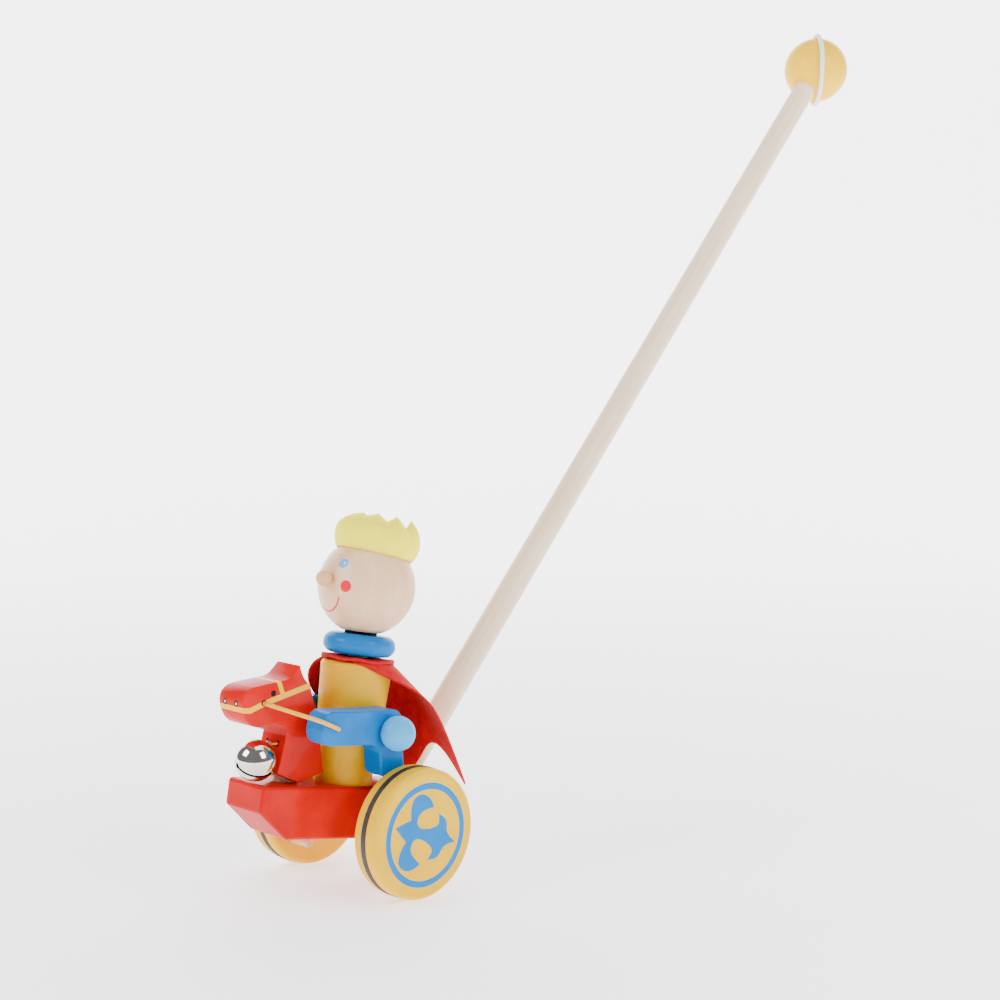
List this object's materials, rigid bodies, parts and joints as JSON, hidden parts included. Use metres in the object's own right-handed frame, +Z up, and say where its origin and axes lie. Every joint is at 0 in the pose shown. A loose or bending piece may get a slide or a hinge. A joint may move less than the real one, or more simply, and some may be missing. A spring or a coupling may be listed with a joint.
{
  "type": "push-along toy",
  "caption": "Wooden push-along toy on a pair of wheels: a crowned rider whose arms tug the reins of a rocking horse with a bell, pushed by a long rod with a ball handle.",
  "frame": {"origin": "on the floor, midway between the wheels, straight below the axle", "axes": "+Z up, +X along the axle to the toy's left, -Y the way that the toy is pushed"},
  "size_m": [0.11, 0.5344, 0.5182],
  "materials": {
    "red_paint": "gloss lacquer",
    "yellow_paint": "gloss lacquer",
    "blue_paint": "gloss lacquer",
    "light_blue_paint": "gloss lacquer",
    "bare_wood": "clear lacquer",
    "head_wood": "clear lacquer",
    "red_felt": "felt",
    "yellow_felt": "felt",
    "black_felt": "felt",
    "rein_cord": "waxed cord",
    "white_cord": "cord",
    "gold_cord": "metallic thread",
    "rubber_band": "matt",
    "bell_chrome": "polished",
    "steel": "satin"
  },
  "bodies": {
    "base": {"base_block": "red_paint", "foot_dowel": "bare_wood", "trunk": "yellow_paint", "neck_dowel": "bare_wood", "neck_washer": "black_felt", "collar_ring": "blue_paint", "cape": "red_felt", "head": "head_wood", "nose": "head_wood", "crown": "yellow_felt", "shoulder_dowel": "bare_wood", "shoulder_knob_left": "light_blue_paint", "shoulder_knob_right": "light_blue_paint", "horse_tongue": "bare_wood", "push_rod": "bare_wood", "handle_ball": "yellow_paint", "hanging_loop": "white_cord", "rein_left": "rein_cord", "rein_right": "rein_cord"},
    "wheel_set": {"axle": "steel", "wheel_left": "yellow_paint", "wheel_right": "yellow_paint", "tread_band_left": "rubber_band", "tread_band_right": "rubber_band", "wheel_peg_left": "bare_wood", "wheel_peg_right": "bare_wood", "axle_spacer_left": "bare_wood", "axle_spacer_right": "bare_wood"},
    "left_arm": {"arm_left": "blue_paint", "rein_end_left": "rein_cord"},
    "right_arm": {"arm_right": "blue_paint", "rein_end_right": "rein_cord"},
    "horse_head": {"horse": "red_paint", "horse_pin": "steel", "rein_middle": "rein_cord"},
    "bell": {"bell_upper_shell": "bell_chrome", "bell_lower_shell": "bell_chrome", "bell_pellet": "steel", "bell_eye": "steel", "bell_cord": "gold_cord"}
  },
  "joints": [
    {"name": "axle_spin", "type": "hinge", "parent": "base", "child": "wheel_set", "pos_m": [0, 0, 0.0353], "axis": [1, 0, 0], "continuous": true},
    {"name": "left_arm_swing", "type": "hinge", "parent": "base", "child": "left_arm", "pos_m": [0, -0.00632, 0.08871], "axis": [1, 0, 0], "range_deg": [-28, 8], "deforming": ["rein_left"]},
    {"name": "right_arm_swing", "type": "hinge", "parent": "base", "child": "right_arm", "pos_m": [0, -0.00632, 0.08871], "axis": [1, 0, 0], "range_deg": [-28, 8], "deforming": ["rein_right"]},
    {"name": "horse_rock", "type": "hinge", "parent": "base", "child": "horse_head", "pos_m": [0, -0.04948, 0.07144], "axis": [1, 0, 0], "range_deg": [-12, 2]},
    {"name": "bell_swing", "type": "hinge", "parent": "horse_head", "child": "bell", "pos_m": [0, -0.05626, 0.08482], "axis": [1, 0, 0], "range_deg": [-12, 0]}
  ]
}
